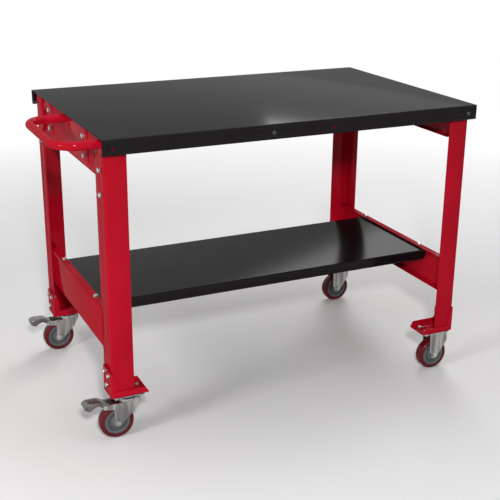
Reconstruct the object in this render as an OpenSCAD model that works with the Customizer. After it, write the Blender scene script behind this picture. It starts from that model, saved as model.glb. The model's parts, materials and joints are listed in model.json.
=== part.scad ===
// Mobile workbench: folded steel top, bolted red frame, lower shelf, push handle and four casters.
// Millimetres, +Z up. The origin is on the floor, under the middle of the whole bench with its handle.
// +X runs along the bench to the right, the front is at -Y and the push handle is at -X.

/* [Worktop] */
// Length of the worktop, left to right
top_l = 1200; // [1000:10:1600]
// Depth of the worktop, front to back
top_d = 772; // [640:2:900]
// Height of the worktop surface above the floor
top_h = 908; // [800:1:1000]
// Height of the skirts folded down along the front and back
skirt_h = 45; // [42:1:60]
// Width of the lip that each skirt turns in at its bottom
skirt_lip = 14; // [8:1:18]
// Thickness of the worktop and shelf sheet
sheet_t = 2; // [1.5:0.5:3]
// Outside radius of the folds in the worktop and shelf
sheet_fold = 5; // [4:0.5:7]
// Distance from the ends of the worktop to the outer skirt holes
skirt_hole_end = 30; // [20:1:60]
// Distance between the two middle skirt holes
skirt_hole_pair = 195; // [120:1:300]
// Depth of the skirt holes below the worktop surface
skirt_hole_drop = 25; // [22:1:28]

/* [Underframe] */
// Height of the cross ribs that hold up the worktop sheet
rib_h = 40; // [36:1:41]
// Width of the ribs' flanges
rib_w = 30; // [20:1:45]
// Distance between the two long bearers
bearer_pitch = 378; // [320:2:430]
// Height of the bearers
bearer_h = 36; // [24:1:40]
// Width of the bearers' flanges
bearer_w = 40; // [24:1:45]

/* [Legs] */
// Distance from the ends of the worktop to the outer faces of the legs
leg_end_inset = 8; // [4:1:30]
// Distance from the front and back of the worktop to the legs
leg_face_inset = 27; // [24:1:60]
// Width of each leg's front or back face
leg_web = 67; // [55:1:90]
// Width of each leg's end face
leg_flange = 71; // [66:1:90]
// Thickness of the legs, end plates, rails and caster shoes
frame_t = 3; // [2:0.5:4]
// Outside radius of the folds in the frame
frame_fold = 6; // [5:0.5:8]
// Distance of the leg bolts from the leg's front or back face
leg_bolt_set = 28; // [22:1:34]
// Depth of the upper leg bolt below the worktop surface
leg_bolt_drop = 94; // [80:1:104]
// Distance between the two bolts of one leg
leg_bolt_pitch = 70; // [50:1:72]

/* [End plates] */
// Depth of the upper end plates
plate_h = 118; // [112:1:160]
// Length of the ears that run down behind the legs
ear_h = 80; // [76:1:140]
// Width of the flanges turned in along the end plates
plate_lip = 20; // [12:1:30]
// Width of the raised pads where the bearers bolt on
pad_w = 55; // [48:1:70]
// Height of the raised pads
pad_h = 98; // [92:1:102]
// Depth of the upper pad bolt below the worktop surface
pad_bolt_drop = 30; // [26:1:36]
// Distance between the two bolts of one pad
pad_bolt_pitch = 57; // [52:1:60]

/* [Push handle] */
// Diameter of the handle tube
handle_d = 25; // [20:1:30]
// Wall of the handle tube
handle_wall = 2; // [1.5:0.5:3]
// Distance from the end of the worktop to the middle of the grip bar
handle_reach = 106; // [90:1:160]
// Distance between the middles of the two arms
handle_pitch = 354; // [300:1:420]
// Radius of the two bends at the middle of the tube
handle_bend = 64; // [40:1:80]
// Distance of the near arm from the front face of the leg
handle_set = 26; // [22:1:34]
// Depth of the middle of the tube below the worktop surface
handle_drop = 22; // [20:1:26]
// Length of the threaded plug in each end of the tube
plug_l = 24; // [16:1:40]

/* [Lower rails and shelf] */
// Height of the top of the lower rails above the floor
rail_top = 385; // [340:1:420]
// Height of the lower rails
rail_h = 118; // [80:1:130]
// Width of the flanges of the lower rails
rail_flange = 24; // [22:1:40]
// Depth of the shelf, front to back
shelf_d = 405; // [380:1:600]
// Height of the shelf's front and back skirts
shelf_skirt = 34; // [24:1:60]
// Width of the lip that each shelf skirt turns in
shelf_lip = 12; // [8:1:30]
// Step down from the shelf's end tabs to its surface
shelf_step = 6; // [4:0.5:10]
// Distance between the two shelf bolts at one end
shelf_bolt_pitch = 346; // [280:1:350]
// Distance of the shelf bolts from the outer faces of the legs
shelf_bolt_set = 17; // [16:0.5:18]
// Width of the stiffener under the shelf
stiffener_w = 60; // [40:1:120]
// Height of the stiffener under the shelf
stiffener_h = 24; // [15:1:30]

/* [Caster shoes] */
// Height of the underside of the shoes above the floor
shoe_z = 138; // [135:1:150]
// Length of the shoes along the bench
shoe_l = 114; // [110:1:130]
// Height of the shoes' side plates
shoe_h = 83; // [75:1:120]
// Width of the strips that wrap round the leg's faces
shoe_wrap = 18; // [14:1:22]
// Drop of the slanted top of those strips
shoe_slant = 25; // [15:1:30]
// Height of the lips along the base
shoe_lip = 20; // [14:1:24]
// Height of the upper pair of shoe bolts above the shoe's underside
shoe_bolt_up = 67; // [60:1:70]
// Height of the lower shoe bolt above the shoe's underside
shoe_bolt_low = 31; // [28:1:36]
// Distance between the upper pair of shoe bolts
shoe_bolt_pitch = 40; // [34:1:44]

/* [Casters] */
// Diameter of the wheels
wheel_d = 104; // [90:1:106]
// Width of the tyres
wheel_w = 34; // [28:1:36]
// Diameter of the wheel centres, inside the tyre
core_d = 78; // [68:1:80]
// Distance from the swivel's middle back to the wheel's axle
trail = 35; // [32:1:38]
// Distance of the swivel's middle from the outer faces of the legs
caster_set = 52; // [51:0.5:53]
// Length of the caster plates
caster_plate_l = 95; // [92:1:100]
// Width of the caster plates
caster_plate_w = 67; // [62:1:72]
// Thickness of the caster plates and forks
caster_t = 3; // [2.5:0.5:3.5]
// Distance between the caster bolts along the bench
caster_bolt_x = 75; // [74:0.5:76]
// Distance between the caster bolts across the bench
caster_bolt_y = 40; // [38:0.5:42]
// Travel of the brake pedals, in degrees
pedal_travel = 18; // [10:1:18]

/* [Fasteners] */
// Diameter of the frame and axle bolts
bolt_d = 8; // [6:0.5:8]
// Width across the flats of the bolt heads and nuts
bolt_flats = 13; // [12:0.5:13]
// Height of the bolt heads
head_h = 5.3; // [4:0.1:5.5]
// Height of the nuts
nut_h = 6.5; // [5:0.1:6.8]
// Diameter of the washers under the heads
washer_d = 16; // [14.5:0.5:16.5]
// Thickness of the washers
washer_t = 1.6; // [1:0.1:2]
// Diameter of the round heads of the skirt screws
button_d = 14; // [12:0.5:15]
// Height of the round heads
button_h = 4.4; // [3.5:0.1:4.6]
// Height of the straight rim of the round heads
button_rim = 1; // [0.6:0.1:1.4]
// Width across the flats of their sockets
socket_flats = 5; // [4:0.5:6]
// Depth of their sockets
socket_depth = 2.6; // [2:0.1:2.8]

/* [Clearances] */
// Gap all round a bolt in a plain hole
hole_gap = 0.3; // [0.2:0.05:0.5]
// Gap between a thread and what it screws into
thread_gap = 0.05; // [0.03:0.01:0.1]
// Running gap all round a shaft or pin that turns
run_gap = 0.05; // [0.03:0.01:0.1]
// Gap where folded pieces slip inside each other
fit_gap = 0.5; // [0.3:0.1:0.8]
// Gap beside a wheel, a hub or a pedal
side_gap = 0.6; // [0.4:0.1:0.8]

/* [Hidden] */
$fn = 64;
tiny = 0.01;

// The bench is drawn about the middle of its worktop, then moved to this place
end_x = top_l / 2;
leg_x = end_x - leg_end_inset;
head_out = washer_t + head_h + 0.4;
bench_x = (end_x + handle_reach + handle_d / 2 - max(end_x, leg_x + frame_t + head_out)) / 2;
face_y = top_d / 2;
leg_y = face_y - leg_face_inset;
under_z = top_h - sheet_t;

// Pieces between the legs stop clear of the round inside of the legs' folds
inside_y = leg_y - frame_fold - fit_gap;
shoe_fold = frame_fold - 1;
leg_z = shoe_z + shoe_fold;
hole_d = bolt_d + 2 * hole_gap;
grip_two = 2 * frame_t;
shank_l = grip_two + nut_h + 2;

// Heights in the underframe
rib_z = under_z - rib_h;
rib_tab_t = max(sheet_fold - sheet_t, frame_t);
bearer_z = rib_z - bearer_h;
bearer_y = bearer_pitch / 2;
pad_margin = 4;
pad_z = under_z - pad_margin - pad_h;
plate_z = under_z - plate_h;
leg_bolt_z = top_h - leg_bolt_drop;
pad_bolt_z = top_h - pad_bolt_drop;

// The handle
handle_z = top_h - handle_drop;
handle_x = end_x + handle_reach;
near_y = -leg_y + handle_set;
far_y = near_y + handle_pitch;
plate_x = leg_x - frame_t;

// The shelf
shelf_z = rail_top - frame_t - shelf_step;
shelf_end = plate_x - frame_fold - fit_gap;
shelf_step_x = leg_x - frame_t - rail_flange - fit_gap;
shelf_bolt_x = leg_x - shelf_bolt_set;

// The casters
caster_x = leg_x - caster_set;
nut_r = bolt_flats / cos(30) / 2;
caster_y = leg_y - frame_t - fit_gap - nut_r - caster_bolt_y / 2;
axle_z = wheel_d / 2;
cheek_y = wheel_w / 2 + 2.5;
cheek_out = cheek_y + caster_t;
plate_under = shoe_z - caster_t;
boss_r = 13;
sleeve_r = 6;

// The swivel head: a ring of balls between the top plate's dish and the fork's crown
fork_z = plate_under - 12;
crown_r = 33;
crown_rim = 2.5;
king_r = 6;
rivet_r = 12;
ball_r = 3;
ball_gap = 0.4;
ball_ring = 22;
ball_count = 16;
dish_z = fork_z + 2 * (ball_r + ball_gap);

// The brake arms that reach back from the swivel fork, and the pedal on its pin between them
arm_x = -76;
arm_h = 18;
arm_top = fork_z - 9;
pin_r = 3;
pedal_x = arm_x + 10;
pedal_z = arm_top - 6;
pedal_hub_r = 7;
pedal_t = 2.6;
brake_gap = 0.6;

// The cheeks' raised ribs, and the notch that clears the outer bolts of a fixed caster
cheek_rib_r = 3.5;
cheek_rib_out = 1.5;
notch_x = caster_bolt_x / 2 - washer_d / 2 - 1.5;
notch_h = washer_t + head_h + 2;

// Colours as they look on the bench
red = [0.70, 0.06, 0.13];
black = [0.08, 0.08, 0.09];
zinc = [0.72, 0.70, 0.68];
grey = [0.42, 0.45, 0.47];
oxblood = [0.40, 0.08, 0.09];

// Flat shapes

// Rectangle from the origin, with round corners
module round_rect(w, h, r) {
    translate([r, 0]) square([w - 2 * r, h]);
    translate([0, r]) square([w, h - 2 * r]);
    for (x = [r, w - r], y = [r, h - r]) translate([x, y]) circle(r = r);
}

// Section of a sheet w wide and h deep, folded down at both sides and in at the bottom
module tray_section(w, h, lip, t, r) {
    translate([-w / 2, -h]) difference() {
        round_rect(w, h, r);
        translate([t, t]) round_rect(w - 2 * t, h - 2 * t, r - t);
        translate([lip, -tiny]) square([w - 2 * lip, t + 2 * tiny]);
    }
}

// Section of a channel: its web stands on the Y axis and its flanges point to +X
module channel_section(web, flange, t, r) {
    difference() {
        intersection() {
            round_rect(2 * flange, web, r);
            square([flange, web]);
        }
        translate([t, t]) round_rect(2 * flange, web - 2 * t, r - t);
    }
}

// Section of an angle with its outer corner at the origin
module angle_section(a, b, t, r) {
    difference() {
        intersection() {
            round_rect(2 * a, 2 * b, r);
            square([a, b]);
        }
        translate([t, t]) round_rect(2 * a, 2 * b, r - t);
    }
}

// Points along an arc from angle a to angle b
function arc_points(centre, r, a, b, steps = 6) = [
    for (k = [0 : steps]) centre + r * [cos(a + (b - a) * k / steps), sin(a + (b - a) * k / steps)]
];

// Outline of a strip of sheet t thick along a path of points, mitred where it bends
function side_points(path, t) = [
    for (k = [0 : len(path) - 1])
        let (
            a = path[max(k - 1, 0)],
            b = path[min(k + 1, len(path) - 1)],
            u = (path[k] - a) / max(norm(path[k] - a), tiny),
            v = (b - path[k]) / max(norm(b - path[k]), tiny),
            along = (u + v) / norm(u + v),
            lean = max(u * along, v * along)
        )
        path[k] + [-along[1], along[0]] * t / 2 / lean
];
module strip(path, t) {
    near = side_points(path, t);
    far = side_points(path, -t);
    polygon(concat(near, [for (k = [len(far) - 1 : -1 : 0]) far[k]]));
}

// Places

module flip(v, on) {
    if (on) mirror(v) children();
    else children();
}

// Children are drawn for the front left corner, in bench coordinates
module at_corner(right, back) {
    translate([bench_x, 0, 0]) flip([1, 0, 0], right) flip([0, 1, 0], back) children();
}

module all_corners() {
    for (right = [false, true], back = [false, true]) at_corner(right, back) children();
}

// Children are drawn about the middle of a left caster, at floor level
module at_caster(right, back) {
    side = right ? 1 : -1;
    depth = back ? 1 : -1;
    translate([bench_x + side * caster_x, depth * caster_y, 0]) flip([1, 0, 0], right) children();
}

// Turns a shape's +Z to point along -X, and along -Y
module to_left() { rotate([0, -90, 0]) children(); }
module to_front() { rotate([90, 0, 0]) children(); }

// An extrusion of an XZ outline along Y, w wide, about y = 0
module across(w) {
    translate([0, w / 2, 0]) rotate([90, 0, 0]) linear_extrude(w) children();
}

// Fasteners

// A bolt with its washer's underside at z = 0 and its shank down to z = -l
module bolt(l) {
    translate([0, 0, -l]) cylinder(d = bolt_d, h = l + washer_t);
    cylinder(d = washer_d, h = washer_t);
    translate([0, 0, washer_t]) cylinder(d = bolt_flats / cos(30), h = head_h, $fn = 6);
    translate([0, 0, washer_t + head_h - tiny]) cylinder(d = bolt_flats - 3, h = 0.4);
}

// A nut with its upper face at z = -grip
module nut(grip) {
    translate([0, 0, -grip - nut_h]) difference() {
        cylinder(d = bolt_flats / cos(30), h = nut_h, $fn = 6);
        translate([0, 0, -1]) cylinder(d = bolt_d + 2 * thread_gap, h = nut_h + 2);
    }
}

module bolt_and_nut(grip) {
    bolt(grip + nut_h + 2);
    nut(grip);
}

// A black screw with a low domed head and a hexagon socket, and its nut
module button_screw(grip) {
    rise = button_h - button_rim;
    dome_r = (pow(button_d / 2, 2) + pow(rise, 2)) / (2 * rise);
    shank = grip + nut_h + 2;
    difference() {
        union() {
            translate([0, 0, -shank]) cylinder(d = bolt_d, h = shank + tiny);
            intersection() {
                cylinder(d = button_d, h = button_h);
                translate([0, 0, button_h - dome_r]) sphere(r = dome_r);
            }
        }
        translate([0, 0, button_h - socket_depth]) cylinder(d = socket_flats / cos(30), h = button_h, $fn = 6);
    }
    nut(grip);
}

module bore(d, l) {
    translate([0, 0, -l]) cylinder(d = d, h = 2 * l);
}

// Worktop and what carries it

module skirt_hole_places() {
    far = end_x - skirt_hole_end;
    near = skirt_hole_pair / 2;
    for (x = [-far, -near, near, far]) translate([x, -face_y, top_h - skirt_hole_drop]) children();
}

module worktop_panel() color(black) translate([bench_x, 0, 0]) difference() {
    translate([-end_x, 0, top_h]) rotate([90, 0, 90]) linear_extrude(top_l)
        tray_section(top_d, skirt_h, skirt_lip, sheet_t, sheet_fold);
    for (back = [false, true]) flip([0, 1, 0], back)
        skirt_hole_places() to_front() bore(hole_d, 2 * sheet_t);
}

// A channel under the sheet with a tab folded down at each end, behind the skirt
// The channel and the tabs stop clear of the round inside of the worktop's folds
module rib(x) {
    skirt_y = face_y - sheet_t;
    reach = skirt_y - rib_tab_t + tiny;
    tab_low = top_h - skirt_h + sheet_fold;
    tab_high = top_h - sheet_fold;
    translate([bench_x + x, 0, 0]) difference() {
        union() {
            translate([-rib_w / 2, reach, rib_z]) to_front() linear_extrude(2 * reach)
                channel_section(rib_h, rib_w, frame_t, frame_fold);
            for (back = [false, true]) flip([0, 1, 0], back)
                translate([-rib_w / 2, -skirt_y, tab_low]) cube([rib_w, rib_tab_t, tab_high - tab_low]);
        }
        for (back = [false, true]) flip([0, 1, 0], back)
            translate([0, -skirt_y, top_h - skirt_hole_drop]) to_front() bore(hole_d, 2 * frame_t);
    }
}
module rib_left() color(red) rib(-skirt_hole_pair / 2);
module rib_right() color(red) rib(skirt_hole_pair / 2);

// A long channel with a tall tab at each end, which sits in the pocket of an end plate's pad
module bearer(back) {
    tab_w = pad_w - 2 * frame_t - 2 * fit_gap;
    tab_h = pad_h - 2 * frame_t - 2 * fit_gap;
    flip([0, 1, 0], back) translate([bench_x, -bearer_y, 0]) difference() {
        union() {
            translate([-plate_x, -bearer_w / 2, bearer_z]) rotate([90, 0, 90])
                linear_extrude(2 * plate_x) channel_section(bearer_h, bearer_w, frame_t, frame_fold);
            for (x = [-plate_x, plate_x - frame_t])
                translate([x, -tab_w / 2, pad_z + frame_t + fit_gap]) cube([frame_t, tab_w, tab_h]);
        }
        for (right = [false, true], z = [pad_bolt_z, pad_bolt_z - pad_bolt_pitch])
            flip([1, 0, 0], right) translate([-plate_x, 0, z]) to_left() bore(hole_d, 2 * frame_t);
    }
}
module bearer_front() color(red) bearer(false);
module bearer_back() color(red) bearer(true);

// Legs

module shoe_bolt_places() {
    mid = -leg_y + leg_flange / 2;
    for (y = [-shoe_bolt_pitch / 2, shoe_bolt_pitch / 2])
        translate([-leg_x, mid + y, shoe_z + shoe_bolt_up]) to_left() children();
    translate([-leg_x, mid, shoe_z + shoe_bolt_low]) to_left() children();
}

module leg_bolt_places() {
    for (z = [leg_bolt_z, leg_bolt_z - leg_bolt_pitch])
        translate([-leg_x, -leg_y + leg_bolt_set, z]) to_left() children();
}

// The left end's two handle holes; a mirrored copy of one leg would have none
module handle_places() {
    for (y = [near_y, far_y]) translate([-plate_x, y, handle_z]) to_left() children();
}

module leg(handle_hole) difference() {
    translate([-leg_x, -leg_y, leg_z]) linear_extrude(under_z - leg_z)
        angle_section(leg_web, leg_flange, frame_t, frame_fold);
    shoe_bolt_places() bore(hole_d, 2 * frame_t);
    leg_bolt_places() bore(hole_d, 2 * frame_t);
    if (handle_hole) handle_places() bore(hole_d, 3 * frame_t);
}
module leg_front_left() color(red) at_corner(false, false) leg(true);
module leg_back_left() color(red) at_corner(false, true) leg(false);
module leg_front_right() color(red) at_corner(true, false) leg(false);
module leg_back_right() color(red) at_corner(true, true) leg(false);

// Upper end plates

// Outline of an end plate in YZ: a deep band between the legs, with an ear behind each leg
module end_plate_outline() {
    ear_w = inside_y - (leg_y - leg_flange + 2);
    translate([-inside_y, plate_z]) square([2 * inside_y, plate_h]);
    for (y = [-inside_y, inside_y - ear_w]) translate([y, plate_z - ear_h]) square([ear_w, ear_h + 1]);
}

module end_plate(with_handle) {
    inner_y = leg_y - leg_flange - 2;
    difference() {
        union() {
            translate([-plate_x, 0, 0]) rotate([90, 0, 90]) linear_extrude(frame_t) end_plate_outline();
            for (z = [plate_z, under_z - frame_t]) translate([-plate_x, -inner_y, z])
                cube([plate_lip, 2 * inner_y, frame_t]);
            for (y = [-bearer_y, bearer_y]) translate([-leg_x, y - pad_w / 2, pad_z])
                cube([frame_t + 1, pad_w, pad_h]);
        }
        for (y = [-bearer_y, bearer_y])
            translate([-plate_x, y - pad_w / 2 + frame_t, pad_z + frame_t])
                cube([2 * frame_t, pad_w - 2 * frame_t, pad_h - 2 * frame_t]);
        for (back = [false, true]) flip([0, 1, 0], back) {
            pad_bolt_places() bore(hole_d, 2 * frame_t);
            leg_bolt_places() bore(hole_d, 3 * frame_t);
        }
        if (with_handle) handle_places() bore(hole_d, 2 * frame_t);
    }
}
module end_plate_left() color(red) at_corner(false, false) end_plate(true);
module end_plate_right() color(red) at_corner(true, false) end_plate(false);

module pad_bolt_places() {
    for (z = [pad_bolt_z, pad_bolt_z - pad_bolt_pitch])
        translate([-leg_x, -bearer_y, z]) to_left() children();
}

// Push handle

// A straight arm of the handle, from the frame out to where its bend starts
module handle_arm(y, x_frame, d) {
    x_bend = handle_x - handle_bend;
    translate([-x_frame, y, handle_z]) to_left() cylinder(d = d, h = x_bend - x_frame);
}

// The tube's path drawn as a solid rod of diameter d
module handle_rod(d) {
    handle_arm(near_y, leg_x, d);
    handle_arm(far_y, plate_x, d);
    x = -handle_x + handle_bend;
    translate([x, near_y + handle_bend, handle_z]) rotate([0, 0, 180])
        rotate_extrude(angle = 90) translate([handle_bend, 0]) circle(d = d);
    translate([x, far_y - handle_bend, handle_z]) rotate([0, 0, 90])
        rotate_extrude(angle = 90) translate([handle_bend, 0]) circle(d = d);
    translate([-handle_x, far_y - handle_bend, handle_z]) rotate([90, 0, 0])
        cylinder(d = d, h = handle_pitch - 2 * handle_bend);
}

module push_handle() color(red) translate([bench_x, 0, 0]) difference() {
    handle_rod(handle_d);
    handle_rod(handle_d - 2 * handle_wall);
    for (p = [[near_y, leg_x], [far_y, plate_x]]) translate([-p[1] + tiny, p[0], handle_z])
        to_left() cylinder(d = handle_d - 2 * handle_wall, h = 1);
}

// A threaded plug in each end of the tube, and the bolt that pulls it against the frame
module handle_fixings() color(zinc) translate([bench_x, 0, 0]) {
    for (p = [[near_y, leg_x], [far_y, plate_x]]) {
        translate([-p[1], p[0], handle_z]) to_left() difference() {
            cylinder(d = handle_d - 2 * handle_wall, h = plug_l);
            translate([0, 0, -1]) cylinder(d = bolt_d + 2 * thread_gap, h = plug_l - 2);
        }
        translate([-leg_x + grip_two, p[0], handle_z]) rotate([0, 90, 0]) bolt(grip_two + plug_l - 8);
    }
}

// Lower rails and shelf

module shelf_bolt_places() {
    for (y = [-shelf_bolt_pitch / 2, shelf_bolt_pitch / 2])
        translate([-shelf_bolt_x, y, rail_top]) children();
}

module lower_rail() difference() {
    translate([-plate_x, inside_y, rail_top - rail_h]) to_front() linear_extrude(2 * inside_y)
        channel_section(rail_h, rail_flange, frame_t, frame_fold);
    shelf_bolt_places() bore(hole_d, 2 * frame_t);
}
module lower_rail_left() color(red) at_corner(false, false) lower_rail();
module lower_rail_right() color(red) at_corner(true, false) lower_rail();

// The shelf is a tray whose ends step up to tabs that bolt under the rails' top flanges
module shelf_panel() color(black) translate([bench_x, 0, 0]) difference() {
    tab_z = shelf_z + shelf_step - sheet_t;
    tab_l = shelf_end - shelf_step_x;
    corner = shelf_skirt / 2;
    union() {
        difference() {
            translate([-shelf_end, 0, shelf_z]) rotate([90, 0, 90]) linear_extrude(2 * shelf_end)
                tray_section(shelf_d, shelf_skirt, shelf_lip, sheet_t, sheet_fold);
            for (x = [-shelf_end - 1, shelf_step_x])
                translate([x, -shelf_d / 2 - 1, shelf_z - sheet_fold])
                    cube([tab_l + 1, shelf_d + 2, 2 * sheet_fold]);
            for (right = [false, true]) flip([1, 0, 0], right)
                translate([-shelf_end, 0, shelf_z - shelf_skirt]) rotate([0, 45, 0])
                    cube([corner, shelf_d + 2, corner], center = true);
        }
        for (right = [false, true]) flip([1, 0, 0], right) {
            translate([-shelf_end, -shelf_d / 2, tab_z]) cube([tab_l, shelf_d, sheet_t]);
            translate([-shelf_step_x - sheet_t, -shelf_d / 2, shelf_z - sheet_t])
                cube([sheet_t + tiny, shelf_d, shelf_step]);
        }
    }
    for (right = [false, true]) flip([1, 0, 0], right) shelf_bolt_places() bore(hole_d, 4 * frame_t);
}

module shelf_stiffener() color(black) translate([bench_x, 0, 0]) {
    half = shelf_step_x - 20;
    translate([-half, 0, shelf_z - sheet_t]) rotate([90, 0, 90]) linear_extrude(2 * half)
        tray_section(stiffener_w, stiffener_h, shelf_lip, sheet_t, sheet_fold);
}

// Caster shoes

// Front view of a shoe's wrap strip and base lip, with the shoe's outer corner at the origin
module shoe_outline(l, h) {
    r = 8;
    slope = atan2(shoe_slant, shoe_wrap);
    turn = [shoe_wrap - r, h - shoe_slant - r * tan(45 - slope / 2)];
    polygon(concat(
        [[0, 0], [l, 0], [l, 4], [l - 10, shoe_lip]],
        arc_points([shoe_wrap + r, shoe_lip + r], r, 270, 180),
        arc_points(turn, r, 0, 90 - slope),
        [[0, h]]
    ));
}

// The back wall stands clear of the leg's flange by the shoe's inside fold
module shoe() {
    w = leg_flange + frame_t + shoe_fold;
    r = shoe_fold;
    t = frame_t;
    translate([-leg_x - t, -leg_y - t, shoe_z]) difference() {
        intersection() {
            linear_extrude(shoe_h) round_rect(2 * shoe_l, w, r);
            rotate([90, 0, 90]) linear_extrude(shoe_l) round_rect(w, 2 * shoe_h, r);
            translate([0, w, 0]) rotate([90, 0, 0]) linear_extrude(w) shoe_outline(shoe_l, shoe_h);
        }
        translate([t, t, t]) intersection() {
            linear_extrude(shoe_h) round_rect(2 * shoe_l, w - 2 * t, r - t);
            rotate([90, 0, 90]) linear_extrude(shoe_l) round_rect(w - 2 * t, 2 * shoe_h, r - t);
        }
        translate([t + leg_x, t + leg_y, -shoe_z]) {
            shoe_bolt_places() bore(hole_d, 2 * frame_t);
            corner_caster_bolt_places() bore(hole_d, 2 * frame_t);
        }
    }
}
module shoe_front_left() color(red) at_corner(false, false) shoe();
module shoe_back_left() color(red) at_corner(false, true) shoe();
module shoe_front_right() color(red) at_corner(true, false) shoe();
module shoe_back_right() color(red) at_corner(true, true) shoe();

// Places of the caster bolts at the shoe's underside, at the front left corner
module corner_caster_bolt_places() {
    for (x = [-caster_bolt_x / 2, caster_bolt_x / 2], y = [-caster_bolt_y / 2, caster_bolt_y / 2])
        translate([-caster_x + x, -caster_y + y, shoe_z]) children();
}

// Groups of fasteners

module bearer_bolts() color(zinc) all_corners() pad_bolt_places() bolt_and_nut(grip_two);

module leg_bolts() color(zinc) all_corners() leg_bolt_places() bolt_and_nut(grip_two);

module shelf_bolts() color(zinc) for (right = [false, true])
    at_corner(right, false) shelf_bolt_places() bolt_and_nut(frame_t + sheet_t);

module shoe_bolts() color(zinc) all_corners() translate([-frame_t, 0, 0])
    shoe_bolt_places() bolt_and_nut(grip_two);

module caster_bolts() color(zinc) all_corners() corner_caster_bolt_places()
    translate([0, 0, -caster_t]) rotate([180, 0, 0]) bolt_and_nut(caster_t + frame_t);

// Screws at every second hole of the front and back skirts; the other holes are left free
module skirt_screws() color(black) for (back = [false, true])
    translate([bench_x, 0, 0]) flip([0, 1, 0], back) {
        translate([-skirt_hole_pair / 2, -face_y, top_h - skirt_hole_drop])
            to_front() button_screw(sheet_t + rib_tab_t);
        translate([end_x - skirt_hole_end, -face_y, top_h - skirt_hole_drop])
            to_front() button_screw(sheet_t);
    }

// Swivel casters, drawn about the swivel's middle with the wheel trailing to -X

module caster_plate_holes() {
    for (x = [-caster_bolt_x / 2, caster_bolt_x / 2], y = [-caster_bolt_y / 2, caster_bolt_y / 2])
        translate([x, y, shoe_z]) bore(hole_d, 2 * caster_t);
}

module caster_plate() {
    translate([-caster_plate_l / 2, -caster_plate_w / 2, plate_under]) linear_extrude(caster_t)
        round_rect(caster_plate_l, caster_plate_w, 8);
}

// Top plate with a round dish under it that runs on the balls
module top_plate() difference() {
    union() {
        caster_plate();
        translate([0, 0, dish_z]) cylinder(r = ball_ring + 6, h = plate_under - dish_z + tiny);
    }
    caster_plate_holes();
    translate([0, 0, shoe_z]) bore(2 * (king_r + thread_gap), 20);
}

module ball_ring() {
    for (k = [0 : ball_count - 1]) rotate(k * 360 / ball_count)
        translate([ball_ring, 0, fork_z + ball_r + ball_gap]) sphere(r = ball_r, $fn = 32);
}

// Rivet that holds the fork up under the top plate
module king_pin() {
    foot_z = fork_z - caster_t - 0.3;
    translate([0, 0, foot_z - caster_t]) cylinder(r = rivet_r, h = caster_t);
    translate([0, 0, foot_z - tiny]) cylinder(r = king_r, h = shoe_z - foot_z - 0.5);
}

// Side view of a swivel fork's cheek, with its brake arm
module swivel_cheek_outline() {
    neck = -trail - 10;
    nose = crown_r + 1;
    back = -20;
    difference() {
        union() {
            polygon([
                [nose, fork_z], [nose, fork_z - 6], [nose - 18, fork_z - 40], [-trail + 9, axle_z - 9],
                [-trail - 4, axle_z - 4], [neck, axle_z], [neck, arm_top - arm_h],
                [arm_x + 2, arm_top - arm_h + 6], [arm_x, arm_top], [back, arm_top + 1], [back, fork_z]
            ]);
            translate([-trail, axle_z]) circle(r = boss_r);
        }
        translate([-trail, axle_z]) circle(r = bolt_d / 2 + thread_gap);
        translate([pedal_x, pedal_z]) circle(r = pin_r + thread_gap);
    }
}

// Raised ribs pressed into the outsides of the cheeks, each from its own low end up to one height
module cheek_ribs(places, high) difference() {
    for (p = places, side = [-1, 1])
        translate([p[0], side * (cheek_out + cheek_rib_out - cheek_rib_r), p[1]])
            cylinder(r = cheek_rib_r, h = high - p[1]);
    translate([-trail, -cheek_y, 0]) cube([2 * trail, 2 * cheek_y, shoe_z]);
}

module swivel_fork() difference() {
    union() {
        translate([0, 0, fork_z - caster_t]) cylinder(r = crown_r, h = caster_t);
        translate([-20, -cheek_out, fork_z - caster_t]) cube([crown_r + 21, 2 * cheek_out, caster_t]);
        for (y = [-cheek_y - caster_t / 2, cheek_y + caster_t / 2])
            translate([0, y, 0]) across(caster_t) swivel_cheek_outline();
        cheek_ribs([[-14, fork_z - 56], [6, fork_z - 40]], fork_z - caster_t);
        translate([0, 0, fork_z - tiny]) difference() {
            cylinder(r = crown_r, h = 5);
            translate([0, 0, -1]) cylinder(r = crown_r - crown_rim, h = 7);
        }
    }
    translate([0, 0, fork_z]) bore(2 * (king_r + run_gap), 10);
}

// Bolt through the fork and sleeve, with a nut outside the far cheek
module axle_bolt(x) translate([x, -cheek_out, axle_z]) to_front() bolt_and_nut(2 * cheek_out);

// Brake pedal: a hub on the pin and a pressed tread, whose sides are folded down
module pedal() {
    w = 2 * (cheek_y - side_gap);
    tread = [[0, 4.6], [-6, 9], [-13, 14.5], [-22, 18], [-54, 18.6], [-63, 15.6], [-66.5, 9], [-64, 3], [-52, -3]];
    under = [[-43, 0], [-36, 6], [-24, 8], [-12, 1], [0, -4.6]];
    translate([pedal_x, 0, pedal_z]) difference() {
        union() {
            across(w) circle(r = pedal_hub_r);
            across(w) strip(tread, pedal_t);
            for (side = [-1, 1]) translate([0, side * (w - pedal_t) / 2, 0])
                across(pedal_t) polygon(concat(tread, under));
        }
        across(w + 2) circle(r = pin_r + run_gap);
    }
}

// The pin ends flush with the outside of the fork's arms
module pedal_pin() {
    translate([pedal_x, 0, pedal_z]) across(2 * cheek_out) circle(r = pin_r);
}

// Block under the pedal's hub that swings against the tyre when the pedal goes down
module brake_shoe() {
    to_axle = [-trail - pedal_x, axle_z - pedal_z];
    lean = atan2(to_axle[1], to_axle[0]) - pedal_travel;
    tip = (norm(to_axle) - wheel_d / 2 - brake_gap) * [cos(lean), sin(lean)];
    translate([pedal_x, 0, pedal_z]) across(wheel_w - 8) difference() {
        polygon([[tip[0], -4], tip, [-8, tip[1]], [-8, -4]]);
        circle(r = pedal_hub_r + thread_gap);
    }
}

// Wheels, drawn about the floor point under their axle at x

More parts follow.
